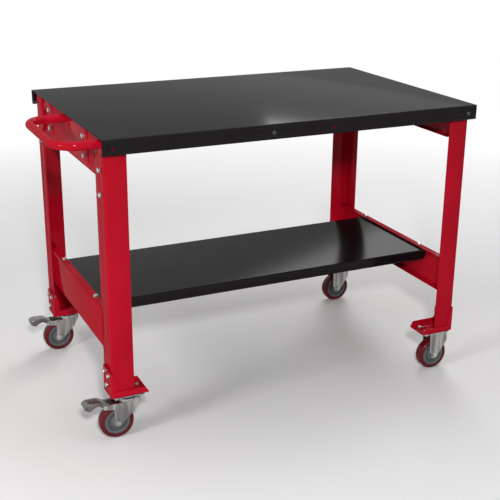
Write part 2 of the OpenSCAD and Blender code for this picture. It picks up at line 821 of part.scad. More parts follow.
module tyre(x) translate([x, 0, axle_z]) rotate([90, 0, 0]) rotate_extrude() difference() {
    r = 6;
    translate([core_d / 2, -wheel_w / 2]) square([(wheel_d - core_d) / 2, wheel_w]);
    for (side = [-1, 1]) translate([wheel_d / 2 - r, side * (wheel_w / 2 - r)]) difference() {
        translate([0, side > 0 ? 0 : -r - 1]) square([r + 1, r + 1]);
        circle(r = r);
    }
}

// Plastic centre: a rim, a thin web set back on both sides and a hub
module wheel_centre(x) translate([x, 0, axle_z]) rotate([90, 0, 0]) rotate_extrude() {
    hub_half = cheek_y - side_gap;
    rim_in = core_d / 2 - 10;
    half = wheel_w / 2 - 2;
    polygon([
        [sleeve_r, -hub_half], [14, -hub_half], [14, -half + 1], [21, -half + 1], [21, -5], [rim_in, -5],
        [rim_in, -half + 2], [core_d / 2 - 2, -half], [core_d / 2, -half], [core_d / 2, half],
        [core_d / 2 - 2, half], [rim_in, half - 2], [rim_in, 5], [21, 5], [21, half - 1], [14, half - 1],
        [14, hub_half], [sleeve_r, hub_half]
    ]);
}

// Steel sleeve pressed into the hub, which turns on the axle bolt
module sleeve(x) {
    l = 2 * (cheek_y - side_gap / 2);
    translate([x, l / 2, axle_z]) rotate([90, 0, 0]) difference() {
        cylinder(r = sleeve_r, h = l);
        translate([0, 0, -1]) cylinder(r = bolt_d / 2 + run_gap, h = l + 2);
    }
}

// Fixed casters

// The cheeks stop short of the outer bolts, whose heads sit in the notch above them
module fixed_cheek_outline() {
    difference() {
        union() {
            polygon([
                [-20, plate_under + tiny], [notch_x, plate_under + tiny], [notch_x, plate_under - notch_h],
                [46, plate_under - notch_h], [46, plate_under - 36], [12, axle_z - 6],
                [-6, axle_z - 8], [-19, axle_z + 14]
            ]);
            translate([0, axle_z]) circle(r = boss_r);
        }
        translate([0, axle_z]) circle(r = bolt_d / 2 + thread_gap);
    }
}

module fixed_fork() difference() {
    union() {
        caster_plate();
        for (y = [-cheek_y - caster_t / 2, cheek_y + caster_t / 2])
            translate([0, y, 0]) across(caster_t) fixed_cheek_outline();
        cheek_ribs([[-8, axle_z + 16], [14, axle_z + 16]], plate_under + tiny);
        translate([-20, -cheek_y - tiny, plate_under - caster_t])
            cube([notch_x + 20, 2 * cheek_y + 2 * tiny, caster_t + tiny]);
    }
    caster_plate_holes();
}

module fl_top_plate() color(zinc) at_caster(false, false) top_plate();
module fl_ball_ring() color(zinc) at_caster(false, false) ball_ring();
module fl_fork() color(zinc) at_caster(false, false) swivel_fork();
module fl_king_pin() color(zinc) at_caster(false, false) king_pin();
module fl_pedal() color(zinc) at_caster(false, false) pedal();
module fl_pedal_pin() color(zinc) at_caster(false, false) pedal_pin();
module fl_brake_shoe() color(zinc) at_caster(false, false) brake_shoe();
module fl_axle_bolt() color(zinc) at_caster(false, false) axle_bolt(-trail);
module fl_tyre() color(oxblood) at_caster(false, false) tyre(-trail);
module fl_wheel_centre() color(grey) at_caster(false, false) wheel_centre(-trail);
module fl_sleeve() color(zinc) at_caster(false, false) sleeve(-trail);

module bl_top_plate() color(zinc) at_caster(false, true) top_plate();
module bl_ball_ring() color(zinc) at_caster(false, true) ball_ring();
module bl_fork() color(zinc) at_caster(false, true) swivel_fork();
module bl_king_pin() color(zinc) at_caster(false, true) king_pin();
module bl_pedal() color(zinc) at_caster(false, true) pedal();
module bl_pedal_pin() color(zinc) at_caster(false, true) pedal_pin();
module bl_brake_shoe() color(zinc) at_caster(false, true) brake_shoe();
module bl_axle_bolt() color(zinc) at_caster(false, true) axle_bolt(-trail);
module bl_tyre() color(oxblood) at_caster(false, true) tyre(-trail);
module bl_wheel_centre() color(grey) at_caster(false, true) wheel_centre(-trail);
module bl_sleeve() color(zinc) at_caster(false, true) sleeve(-trail);

module fr_fork() color(zinc) at_caster(true, false) flip([1, 0, 0], true) fixed_fork();
module fr_axle_bolt() color(zinc) at_caster(true, false) axle_bolt(0);
module fr_tyre() color(oxblood) at_caster(true, false) tyre(0);
module fr_wheel_centre() color(grey) at_caster(true, false) wheel_centre(0);
module fr_sleeve() color(zinc) at_caster(true, false) sleeve(0);

module br_fork() color(zinc) at_caster(true, true) flip([1, 0, 0], true) fixed_fork();
module br_axle_bolt() color(zinc) at_caster(true, true) axle_bolt(0);
module br_tyre() color(oxblood) at_caster(true, true) tyre(0);
module br_wheel_centre() color(grey) at_caster(true, true) wheel_centre(0);
module br_sleeve() color(zinc) at_caster(true, true) sleeve(0);

worktop_panel();
rib_left();
rib_right();
bearer_front();
bearer_back();
leg_front_left();
leg_back_left();
leg_front_right();
leg_back_right();
end_plate_left();
end_plate_right();
push_handle();
handle_fixings();
lower_rail_left();
lower_rail_right();
shelf_panel();
shelf_stiffener();
shoe_front_left();
shoe_back_left();
shoe_front_right();
shoe_back_right();
bearer_bolts();
leg_bolts();
shelf_bolts();
shoe_bolts();
caster_bolts();
skirt_screws();
fl_top_plate();
fl_ball_ring();
fl_fork();
fl_king_pin();
fl_pedal();
fl_pedal_pin();
fl_brake_shoe();
fl_axle_bolt();
fl_tyre();
fl_wheel_centre();
fl_sleeve();
bl_top_plate();
bl_ball_ring();
bl_fork();
bl_king_pin();
bl_pedal();
bl_pedal_pin();
bl_brake_shoe();
bl_axle_bolt();
bl_tyre();
bl_wheel_centre();
bl_sleeve();
fr_fork();
fr_axle_bolt();
fr_tyre();
fr_wheel_centre();
fr_sleeve();
br_fork();
br_axle_bolt();
br_tyre();
br_wheel_centre();
br_sleeve();
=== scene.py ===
# %% [markdown]
# A mobile workbench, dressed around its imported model.
# The model gives every piece its real size and place. This script gives the pieces their finish:
# red powder coat on the frame, glossy black on the worktop and shelf, zinc plate on the casters
# and bolts, grey plastic wheel centres and oxblood tyres. Lengths are in metres, +Z is up, the
# front of the bench is at -Y and its push handle is at -X.

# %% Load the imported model
import json
from math import cos, pi, radians

import bpy
from mathutils import Matrix, Vector

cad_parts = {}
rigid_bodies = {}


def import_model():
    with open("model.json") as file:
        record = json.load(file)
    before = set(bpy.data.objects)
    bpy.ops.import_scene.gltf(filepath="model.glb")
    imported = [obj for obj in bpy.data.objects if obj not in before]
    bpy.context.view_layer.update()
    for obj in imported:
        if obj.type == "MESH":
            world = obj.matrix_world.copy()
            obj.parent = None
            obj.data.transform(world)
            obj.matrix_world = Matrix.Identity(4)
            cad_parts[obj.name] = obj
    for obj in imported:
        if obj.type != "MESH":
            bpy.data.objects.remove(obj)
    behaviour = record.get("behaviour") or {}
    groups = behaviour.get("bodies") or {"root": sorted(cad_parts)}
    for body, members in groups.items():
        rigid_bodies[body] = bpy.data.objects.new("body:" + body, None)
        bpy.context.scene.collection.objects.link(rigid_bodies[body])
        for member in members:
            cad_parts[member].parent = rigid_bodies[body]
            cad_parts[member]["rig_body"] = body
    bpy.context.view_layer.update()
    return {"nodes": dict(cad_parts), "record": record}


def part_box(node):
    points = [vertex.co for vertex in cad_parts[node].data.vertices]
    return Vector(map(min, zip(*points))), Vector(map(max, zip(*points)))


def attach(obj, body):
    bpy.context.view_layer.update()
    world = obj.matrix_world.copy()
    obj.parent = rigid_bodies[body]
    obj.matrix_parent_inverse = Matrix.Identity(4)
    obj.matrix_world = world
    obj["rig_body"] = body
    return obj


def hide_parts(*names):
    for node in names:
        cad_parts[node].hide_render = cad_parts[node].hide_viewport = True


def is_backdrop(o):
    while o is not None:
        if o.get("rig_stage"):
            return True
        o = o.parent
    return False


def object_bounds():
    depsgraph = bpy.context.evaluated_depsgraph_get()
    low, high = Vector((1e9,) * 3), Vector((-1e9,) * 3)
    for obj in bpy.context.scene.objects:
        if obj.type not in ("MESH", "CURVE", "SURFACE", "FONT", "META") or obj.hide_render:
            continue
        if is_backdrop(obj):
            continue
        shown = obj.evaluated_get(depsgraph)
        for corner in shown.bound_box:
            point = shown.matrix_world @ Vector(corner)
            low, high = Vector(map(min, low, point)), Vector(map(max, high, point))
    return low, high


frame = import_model()
MM = 0.001

# %% [markdown]
# The camera comes first, so that everything after it can be judged against the photograph. Its
# place was worked out from the bench's known corners: it stands 2.8 m in front of the bench and
# to the left, 1.5 m up, and looks down by about 20 degrees. A camera turned by its yaw, then its
# pitch, then a slight roll is easier to read than a target to track.

# %% Camera
CAMERA_AT = Vector((-1.2572, -2.8075, 1.5082))
CAMERA_YAW = radians(25.304)
CAMERA_PITCH = radians(19.801)
CAMERA_ROLL = radians(0.530)
LENS_MM = 70.77
SENSOR_MM = 36
FARTHEST_SEEN = 50

bpy.ops.object.camera_add(location=CAMERA_AT)
camera = bpy.context.object
turn = (Matrix.Rotation(-CAMERA_YAW, 3, "Z") @ Matrix.Rotation(pi / 2 - CAMERA_PITCH, 3, "X")
        @ Matrix.Rotation(CAMERA_ROLL, 3, "Z"))
camera.rotation_euler = turn.to_euler()
camera.data.lens = LENS_MM
camera.data.sensor_width = SENSOR_MM
camera.data.clip_end = FARTHEST_SEEN
bpy.context.scene.camera = camera
print("camera:", LENS_MM, "mm lens at", [round(x, 2) for x in CAMERA_AT])

# %% [markdown]
# The lamps of a small studio. In the photograph the front of the near leg is the brightest red,
# and the right and back legs are much darker. The worktop's shadow ends half-way down the back
# left leg. That places the main lamp close to the camera and a little above it, small enough to
# leave glints on the tube. A second one lights the left end, a third the back and the right end,
# which the camera doesn't see. A wide one above lights the floor, and is just as bright as the
# white backdrop, so that the worktop shows no edge of it.

# %% Lamps
BENCH_MIDDLE = (0, 0, 0.5)
scene = bpy.context.scene
scene.view_settings.view_transform = "Standard"


def soft_lamp(name, place, size, power):
    """A square area lamp that points at the bench and can't be seen by the camera."""
    bpy.ops.object.light_add(type="AREA", location=place)
    lamp = bpy.context.object
    lamp.name = name
    lamp.visible_camera = False
    lamp.data.size = size
    lamp.data.energy = power
    lamp.rotation_euler = (Vector(BENCH_MIDDLE) - Vector(place)).to_track_quat("-Z", "Y").to_euler()
    print(name, size, "m wide,", power, "W")


soft_lamp("lamp_camera", (-1.2, -3.1, 2.1), size=0.28, power=66)
soft_lamp("lamp_left", (-2.65, -1.0, 1.6), size=0.6, power=24)
soft_lamp("lamp_back", (2.0, 2.5, 2.7), size=1.4, power=36)
soft_lamp("lamp_top", (0.4, 0.4, 3.6), size=4.0, power=50)

# %% [markdown]
# Every finish here is a small sum of noises. Written node by node, such a sum is hard to read, so
# a shader socket is wrapped in a class that knows plus, minus and times. Python then adds the
# maths nodes as it works an expression out, also where the number comes first, as in 1 - mask.

# %% Sums of shader sockets


class Value:
    """A shader socket that can be used in sums, so that shader maths reads as an expression."""

    def __init__(self, recipe, socket):
        self.recipe = recipe
        self.socket = socket

    def maths(self, operation, first, second):
        return self.recipe.node("ShaderNodeMath", {"operation": operation}, {0: first, 1: second})

    def __add__(self, other):
        return self.maths("ADD", self, other)

    def __radd__(self, other):
        return self.maths("ADD", other, self)

    def __sub__(self, other):
        return self.maths("SUBTRACT", self, other)

    def __rsub__(self, other):
        return self.maths("SUBTRACT", other, self)

    def __mul__(self, other):
        return self.maths("MULTIPLY", self, other)

    def __rmul__(self, other):
        return self.maths("MULTIPLY", other, self)

    def larger(self, other):
        return self.maths("MAXIMUM", self, other)


print("sums of sockets: plus, minus, times and larger")

# %% [markdown]
# A recipe is the node tree of one finish. One method adds any node: its settings come first,
# because they decide which sockets the node has, and then the values or links of those sockets.
# The nodes that most finishes need have a short name of their own. Patterns read Object
# coordinates, so they are measured in metres and stay on the piece when it moves.

# %% Shader recipes


class Recipe:
    """The node tree of one material or world."""

    def __init__(self, tree, name):
        self.tree = tree
        self.name = name
        tree.nodes.clear()

    def node(self, kind, settings, inputs, output=0):
        """Adds one node: its settings first, then the values or links of its sockets."""
        made = self.tree.nodes.new(kind)
        for name, value in settings.items():
            if name == "stops":
                for stop, (place, shade) in zip(made.color_ramp.elements, value):
                    stop.position = place
                    stop.color = (shade, shade, shade, 1)
            else:
                setattr(made, name, value)
        for name, value in inputs.items():
            if isinstance(value, Value):
                self.tree.links.new(value.socket, made.inputs[name])
            else:
                made.inputs[name].default_value = value
        return Value(self, made.outputs[output] if made.outputs else None)

    def place(self):
        """Where a point is on the piece, in metres."""
        return self.node("ShaderNodeTexCoord", {}, {}, "Object")

    def noise(self, per_metre, detail=2.0, stretch=None):
        """Cloudy noise from 0 to 1, with about so many blobs to the metre."""
        at = self.place()
        if stretch:
            at = self.node("ShaderNodeMapping", {}, {"Vector": at, "Scale": stretch})
        inputs = {"Vector": at, "Scale": per_metre, "Detail": detail}
        return self.node("ShaderNodeTexNoise", {}, inputs)

    def ramp(self, value, first, last):
        """A grey for each value, between two stops of (value, grey)."""
        return self.node("ShaderNodeValToRGB", {"stops": (first, last)}, {"Fac": value})

    def blend(self, share, colour, other):
        """One colour where share is 0, the other where it is 1."""
        settings = {"data_type": "RGBA"}
        return self.node("ShaderNodeMix", settings, {0: share, 6: colour, 7: other}, 2)

    def bump(self, height, depth, strength):
        """A normal that makes a smooth face look as if height, times depth, stood on it."""
        inputs = {"Height": height, "Distance": depth, "Strength": strength}
        return self.node("ShaderNodeBump", {}, inputs)


print("nodes of a recipe: place, noise, ramp, blend and bump")

# %% [markdown]
# The backdrop is the world itself. It is white where the camera or a reflection looks at it, and a
# soft grey where it lights the bench, so that the bench isn't washed out.

# %% Backdrop
WHITE = (1, 1, 1, 1)
BACKDROP_LIGHT = 0.13

world = bpy.data.worlds.new("studio")
scene.world = world
world.use_nodes = True
studio = Recipe(world.node_tree, "studio")
seen = studio.node("ShaderNodeLightPath", {}, {}, "Is Camera Ray")
mirrored = studio.node("ShaderNodeLightPath", {}, {}, "Is Glossy Ray")
passed = studio.node("ShaderNodeLightPath", {}, {}, "Is Transmission Ray")
backdrop = seen.larger(mirrored).larger(passed)
sky = studio.node("ShaderNodeBackground", {}, {
    "Color": WHITE, "Strength": backdrop * (1 - BACKDROP_LIGHT) + BACKDROP_LIGHT})
studio.node("ShaderNodeOutputWorld", {}, {"Surface": sky})
print(studio.name, len(studio.tree.nodes), "shader nodes")

# %% [markdown]
# The floor is pale paper. It keeps the bench's shadow and fades into the white behind it, so that
# no horizon shows. It lies half a millimetre below the wheels, which keeps the two apart.

# %% Floor
FLOOR_SIZE = 30
FLOOR_DROP = 0.5 * MM
PAPER = (0.92, 0.92, 0.92, 1)
FADE_PER_METRE = 0.25
FADE_FROM, FADE_TO = 0.3, 0.85


def primitive(name, add, **settings):
    """Adds a primitive with nothing else selected, and gives it its name."""
    bpy.ops.object.select_all(action="DESELECT")
    add(**settings)
    piece = bpy.context.object
    piece.name = name
    return piece


def new_material(name):
    """An empty material and the recipe that fills it."""
    material = bpy.data.materials.new(name)
    material.use_nodes = True
    return material, Recipe(material.node_tree, name)


def finish_material(recipe, inputs):
    """Ends a recipe with one Principled shader."""
    surface = recipe.node("ShaderNodeBsdfPrincipled", {}, inputs)
    recipe.node("ShaderNodeOutputMaterial", {}, {"Surface": surface})
    print(recipe.name, len(recipe.tree.nodes), "shader nodes")


floor = primitive("floor", bpy.ops.mesh.primitive_plane_add,
                  size=FLOOR_SIZE, location=(0, 0, -FLOOR_DROP))
floor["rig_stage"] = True

floor_material, paper = new_material("pale_paper")
distance = paper.node("ShaderNodeVectorMath", {"operation": "LENGTH"}, {0: paper.place()}, "Value")
finish_material(paper, {
    "Base Color": PAPER,
    "Roughness": 0.9,
    "Alpha": paper.ramp(distance * FADE_PER_METRE, (FADE_FROM, 1), (FADE_TO, 0)),
})
floor.data.materials.append(floor_material)

# %% [markdown]
# Powder coat is a thick, even paint baked on from dust. Close up it is faintly uneven, like the
# peel of an orange, and each dip bends the reflections a little. A fine noise drives that bump, a
# finer one breaks up the gloss, and a wide one keeps large faces from being one flat colour.

# %% Powder coat
RED = (0.49, 0.004, 0.019, 1)
DEEP_RED = (0.40, 0.003, 0.014, 1)
BLACK = (0.0075, 0.0055, 0.0062, 1)
WORN_BLACK = (0.0105, 0.0080, 0.0088, 1)
PEEL_DEPTH = 0.05 * MM


def swing(noise, reach, middle=0.5):
    """A noise that swings about 0 and is reach wide, to be added to a plain value."""
    return reach * (noise - middle)


def powder_coat(name, colour, second, gloss, haze):
    """A coat of colour with clouds of second in it, under a clear skin with gloss and haze."""
    material, recipe = new_material(name)
    clouds = recipe.noise(per_metre=5, detail=3)
    fine = recipe.noise(per_metre=1900, detail=1)
    dips = recipe.noise(per_metre=420, detail=2)
    finish_material(recipe, {
        "Base Color": recipe.blend(recipe.ramp(clouds, (0.35, 0), (0.7, 1)), colour, second),
        "Roughness": 0.31 + swing(fine, 0.10) + swing(clouds, 0.06),
        "Normal": recipe.bump(dips, PEEL_DEPTH, strength=0.5),
        "Specular IOR Level": 0.0,
        "Coat Weight": gloss,
        "Coat Roughness": haze,
    })
    return material


red_coat = powder_coat("red_powder_coat", RED, DEEP_RED, gloss=0.12, haze=0.05)
black_coat = powder_coat("black_powder_coat", BLACK, WORN_BLACK, gloss=0.215, haze=0.14)

# %% [markdown]
# The skirt screws are steel blackened in a bath of hot salts, not painted. The finish is thin, so
# it keeps the steel's own gloss, and their domes show as faint rings on the black skirt.

# %% Blackened steel
SALT_BLACK = (0.030, 0.028, 0.028, 1)
SALT_BLACK_DARK = (0.016, 0.015, 0.016, 1)

blackened_steel, recipe = new_material("blackened_steel")
salts = recipe.noise(per_metre=900)
finish_material(recipe, {
    "Base Color": recipe.blend(salts, SALT_BLACK, SALT_BLACK_DARK),
    "Roughness": 0.26 + swing(salts, 0.12),
    "Normal": recipe.bump(salts, 0.02 * MM, strength=0.4),
})

# %% [markdown]
# Zinc plate on pressed steel is bright but never a mirror: it has a faint rolling grain. Its colour
# also holds painted reflections: stripes of light and dark along the grain, standing for the bright
# and dark surroundings that it would mirror. Bolts take the same recipe made brighter, a painted
# highlight. Pedals and top plates lie flat, where stripes would look like stains, so theirs is
# nearly even, and the pedals' copy is made darker, painted shade.

# %% Zinc plate


def zinc_plate(name, light, dark, rough):
    """A metal with painted reflections, light and dark stripes along its height, and a fine grain.
    """
    material, recipe = new_material(name)
    # Light and dark stripes in the base colour are painted reflections of surroundings the metal
    # would mirror; the same noise also varies the roughness.
    painted_reflection_bands = recipe.noise(per_metre=75, detail=2, stretch=(1, 1, 0.12))
    grain = recipe.noise(per_metre=700, detail=3, stretch=(1, 1, 0.15))
    finish_material(recipe, {
        "Base Color": recipe.blend(recipe.ramp(painted_reflection_bands, (0.38, 0), (0.62, 1)), light, dark),
        "Roughness": rough + swing(grain, 0.14) + swing(painted_reflection_bands, 0.10),
        "Metallic": 0.9,
        "Normal": recipe.bump(grain, 0.04 * MM, strength=0.35),
    })
    return material


zinc = zinc_plate("zinc_plate", (0.52, 0.51, 0.50, 1), (0.23, 0.225, 0.225, 1), 0.28)
# The bolts' copy is made brighter: a painted highlight, for the light that their heads catch.
painted_highlight_zinc = zinc_plate("painted_highlight_zinc", (0.58, 0.57, 0.55, 1), (0.38, 0.37, 0.36, 1), 0.24)
even_zinc = zinc_plate("even_zinc", (0.38, 0.37, 0.365, 1), (0.28, 0.275, 0.27, 1), 0.30)
# The pedals' copy is made darker: painted shade.
painted_shade_zinc = zinc_plate("painted_shade_zinc", (0.20, 0.190, 0.190, 1), (0.12, 0.114, 0.114, 1), 0.34)

# %% [markdown]
# The wheels have a grey moulded centre and a cast polyurethane tyre. The tyre is a deep oxblood
# red with a wet gloss, a little duller where it has rolled.

# %% Wheel plastics
GREY = (0.145, 0.150, 0.155, 1)
GREY_DARK = (0.095, 0.100, 0.105, 1)
OXBLOOD = (0.150, 0.007, 0.012, 1)
OXBLOOD_DARK = (0.080, 0.005, 0.008, 1)

grey_material, recipe = new_material("grey_plastic")
flow = recipe.noise(per_metre=90, detail=3)
finish_material(recipe, {
    "Base Color": recipe.blend(flow, GREY, GREY_DARK),
    "Roughness": 0.42 + swing(flow, 0.12),
    "Specular IOR Level": 0.2,
    "Normal": recipe.bump(recipe.noise(per_metre=1500), 0.03 * MM, strength=0.4),
})

tyre_material, recipe = new_material("oxblood_polyurethane")
flow = recipe.noise(per_metre=70, detail=3)
finish_material(recipe, {
    "Base Color": recipe.blend(flow, OXBLOOD, OXBLOOD_DARK),
    "Roughness": 0.30 + swing(flow, 0.16, middle=0.4),
    "Specular IOR Level": 0.0,
    "Coat Weight": 0.4,
    "Coat Roughness": 0.12,
    "Normal": recipe.bump(recipe.noise(per_metre=500), 0.05 * MM, strength=0.3),
})

# %% [markdown]
# Every CAD node takes the material of its slot in the record. The pieces that replace nodes below
# take theirs from the same table, unless a finish of their own is given to them.

# %% Materials on the CAD nodes
SLOT_MATERIALS = {"frame_red": red_coat, "sheet_black": black_coat, "zinc_steel": zinc,
                  "wheel_plastic": grey_material, "tyre_red": tyre_material}
SLOT_OF = {part["node"]: part["material_slot"] for part in frame["record"]["subparts"]}
for name, slot in SLOT_OF.items():
    node = frame["nodes"][name]
    node.data.materials.clear()
    node.data.materials.append(SLOT_MATERIALS[slot])
print(len(SLOT_OF), "nodes in", len(SLOT_MATERIALS), "finishes")

# %% [markdown]
# Small tools for modelling. Operators act on what is selected, so one tool selects a piece alone,
# and two open and close edit mode. Another adds a modifier and applies it, which is how edges are
# rounded and solids are added or cut. A piece is moved by its mesh and never by its origin, so
# that all origins stay at the bench's own zero.

# %% Tools for any piece


def only(piece):
    """Selects one piece and nothing else."""
    bpy.ops.object.select_all(action="DESELECT")
    piece.select_set(True)
    bpy.context.view_layer.objects.active = piece


def edit_all(piece):
    """Opens a piece in edit mode with all of it selected."""
    only(piece)
    bpy.ops.object.mode_set(mode="EDIT")
    bpy.ops.mesh.select_all(action="SELECT")


def edit_done():
    """Leaves edit mode, which writes what was done there into the mesh."""
    bpy.ops.object.mode_set(mode="OBJECT")


def modified(piece, kind, **settings):
    """Adds a modifier with these settings and applies it."""
    only(piece)
    bpy.ops.object.modifier_add(type=kind)
    modifier = piece.modifiers[-1]
    for name, value in settings.items():
        setattr(modifier, name, value)
    bpy.ops.object.modifier_apply(modifier=modifier.name)
    return piece


def bevelled(piece, width):
    """Rounds the edges that turn by more than 30 degrees."""
    return modified(piece, "BEVEL", width=width, segments=2, limit_method="ANGLE",
                    angle_limit=radians(30))


def baked(piece, matrix):
    """Moves a piece by putting the matrix into its mesh, so that its origin stays at zero."""
    piece.data.transform(matrix)
    return piece


def copy_of(piece, name, matrix):
    """A copy with a mesh of its own, moved to its place."""
    copy = bpy.data.objects.new(name, piece.data.copy())
    scene.collection.objects.link(copy)
    return baked(copy, matrix)


print("tools: only, edit_all, edit_done, modified, bevelled, baked and copy_of")

# %% [markdown]
# The folded sheets keep the exact shape of the model. Straight from the model each one is a shell
# of loose triangles with knife edges. Its finished copy is merged, its flat areas are dissolved
# into whole faces, and every cut edge is broken by about half a millimetre, because a deburred
# and coated edge is what catches the light on the real bench.

# %% Folded sheets
SAME_POINT = 0.002 * MM
SAME_PLANE = radians(0.5)
SHEET_EDGE = 0.5 * MM
FRAME_EDGE = 0.7 * MM


def dressed(piece, node, angle=35, finish=None):
    """Smooths a piece, gives it its finish and body, and lets it stand for its node."""
    only(piece)
    bpy.ops.object.shade_smooth_by_angle(angle=radians(angle))
    slot = SLOT_OF[node]
    piece.data.materials.clear()
    piece.data.materials.append(finish or SLOT_MATERIALS[slot])
    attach(piece, frame["nodes"][node]["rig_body"])
    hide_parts(node)
    print(piece.name, len(piece.data.polygons), "faces")


def finished_copy(node, edge, finish=None):
    """A merged copy of a node with its edges broken, in the node's place."""
    piece = copy_of(frame["nodes"][node], node + "_finished", Matrix.Identity(4))
    edit_all(piece)
    bpy.ops.mesh.remove_doubles(threshold=SAME_POINT)
    bpy.ops.mesh.dissolve_limited(angle_limit=SAME_PLANE, delimit={"NORMAL"})
    bpy.ops.mesh.normals_make_consistent(inside=False)
    edit_done()
    bevelled(piece, edge)
    dressed(piece, node, finish=finish)


CORNERS = ("front_left", "back_left", "front_right", "back_right")
THICK_SHEETS = ["rib_left", "rib_right", "bearer_front", "bearer_back",
                "lower_rail_left", "lower_rail_right", "end_plate_left", "end_plate_right"]
THICK_SHEETS += [f"{kind}_{corner}" for kind in ("leg", "shoe") for corner in CORNERS]
for node in ("worktop_panel", "shelf_panel", "shelf_stiffener"):
    finished_copy(node, SHEET_EDGE)
for node in THICK_SHEETS:
    finished_copy(node, FRAME_EDGE)

# %% [markdown]
# The casters' pressed forks and top plates get the same treatment with a rounder edge, because
# pressing drags the metal over the die.

# %% Forks and plates
LEFT = ("fl", "bl")
RIGHT = ("fr", "br")
PRESSED_EDGE = 0.8 * MM

for caster in LEFT + RIGHT:
    finished_copy(f"{caster}_fork", PRESSED_EDGE)
for caster in LEFT:
    for part in ("king_pin", "brake_shoe", "pedal_pin"):
        finished_copy(f"{caster}_{part}", SHEET_EDGE)
    finished_copy(f"{caster}_top_plate", SHEET_EDGE, even_zinc)

# %% [markdown]
# The brake pedal is a tongue of sheet steel. A press folds its sides down and curls its tip under,
# and a hub takes its pin. Its side view is drawn first, in millimetres from the pin: the middle of
# the sheet from the hub to the tip, and the lower edge of its folded sides. The corners are cut
# back and joined by short curves, because no pressed corner is sharp.

# %% Side view of a pedal
PEDAL_T = 2.6 * MM
LARGEST_CUT = 0.45


def in_mm(points):
    """Points that are drawn in millimetres, as metres."""
    return [(x * MM, y * MM) for x, y in points]


def softened(outline, reach, steps=3, closed=True):
    """An outline whose corners are cut back by reach and joined by a short curve. A cut takes at
    most LARGEST_CUT of a side, and an open outline keeps its two ends."""
    points = []
    for k, corner in enumerate(outline):
        corner = Vector(corner)
        if not closed and k in (0, len(outline) - 1):
            points.append(corner)
            continue
        before, after = Vector(outline[k - 1]), Vector(outline[(k + 1) % len(outline)])
        back = min(reach, LARGEST_CUT * (before - corner).length)
        on = min(reach, LARGEST_CUT * (after - corner).length)
        start = corner + (before - corner).normalized() * back
        end = corner + (after - corner).normalized() * on
        for step in range(steps + 1):
            t = step / steps
            points.append(start * (1 - t) ** 2 + corner * 2 * t * (1 - t) + end * t * t)
    return points


def beside(path, offset):
    """The points of a path, each moved to its left by offset."""
    moved = []
    for k, point in enumerate(path):
        along = (path[min(k + 1, len(path) - 1)] - path[max(k - 1, 0)]).normalized()
        moved.append(point + Vector((-along.y, along.x)) * offset)
    return moved


TREAD = softened(in_mm([(0, 4.6), (-6, 9), (-13, 14.5), (-22, 18), (-54, 18.6), (-63, 15.6),
                        (-66.5, 9), (-64, 3), (-52, -3)]), 5 * MM, 5, closed=False)
TREAD_BACK = beside(TREAD, -PEDAL_T / 2)
SIDE_EDGE = softened([TREAD_BACK[-1], *in_mm([(-43, 0), (-36, 6), (-24, 8), (-12, 1), (0, -4.6)])],
                     4 * MM, 4, closed=False)[1:]
HOLLOW = beside(TREAD, PEDAL_T / 2) + in_mm([(-50.5, -9), (12, -9), (12, 3.5)])
print("side view of a pedal:", len(TREAD_BACK + SIDE_EDGE), "points, hollow", len(HOLLOW))

# %% [markdown]
# The side view is then made a solid as wide as the pedal, and the two long edges of its back are
# rounded as the press rounds them. A narrower solid hollows it from below, which leaves the
# sheet. Cutting with a whole solid keeps the mesh closed.

# %% Pressed sheet of a pedal
FOLD_R = 2.2 * MM
MICRON = 1e-6


def slab(name, outline, width):
    """A solid whose side view is an outline of (x, z) points and that is width wide across Y."""
    piece = primitive(name, bpy.ops.mesh.primitive_circle_add,
                      vertices=len(outline), fill_type="NGON")
    for vertex, (x, z) in zip(piece.data.vertices, outline):
        vertex.co = (x, -width / 2, z)
    edit_all(piece)
    bpy.ops.mesh.extrude_region_move(TRANSFORM_OT_translate={"value": (0, width, 0)})
    bpy.ops.mesh.select_all(action="SELECT")
    bpy.ops.mesh.normals_make_consistent(inside=False)
    edit_done()
    return piece


def combined(piece, other, operation):
    """Adds other to a piece with UNION, or cuts it away with DIFFERENCE."""
    modified(piece, "BOOLEAN", operation=operation, object=other)
    bpy.data.objects.remove(other)


def rounded_back(piece, back, radius):
    """Rounds the two edges of a slab that follow the points of its back."""
    places = {tuple(round(x / MICRON) for x in point) for point in back}
    edit_all(piece)
    bpy.ops.mesh.select_mode(type="EDGE")
    bpy.ops.mesh.select_all(action="DESELECT")
    edit_done()
    for edge in piece.data.edges:
        ends = [piece.data.vertices[k].co for k in edge.vertices]
        on_back = all((round(end.x / MICRON), round(end.z / MICRON)) in places for end in ends)
        edge.select = on_back and ends[0].y * ends[1].y > 0
    bpy.ops.object.mode_set(mode="EDIT")
    bpy.ops.mesh.bevel(offset=radius, segments=4, affect="EDGES")
    bpy.ops.mesh.select_mode(type="VERT")
    edit_done()


low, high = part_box("fl_pedal")
pedal_w = high.y - low.y
pedal = slab("pedal_model", TREAD_BACK + SIDE_EDGE, pedal_w)
rounded_back(pedal, TREAD_BACK, FOLD_R)
combined(pedal, slab("pedal_hollow", HOLLOW, pedal_w - 2 * PEDAL_T), "DIFFERENCE")
print("pedal", round(pedal_w / MM, 1), "mm wide,", len(pedal.data.polygons), "faces")

# %% [markdown]
# A hub joins the pedal's two sides and turns on the pin. Drawn as part of the side view, it would
# be cut open by the hollow, so a cylinder is added to the sheet afterwards, and a thinner one
# bores it. Both pedals are copies of this one, each set on its own pin.

# %% Brake pedals
FRONT = Matrix.Rotation(pi / 2, 4, "X")
HUB_R = 7 * MM
HUB_INSET = 0.3 * MM
PIN_BORE_R = 3.05 * MM


def rod(name, sides, radius, length):
    """A cylinder along Z about the origin."""
    return primitive(name, bpy.ops.mesh.primitive_cylinder_add,
                     vertices=sides, radius=radius, depth=length)


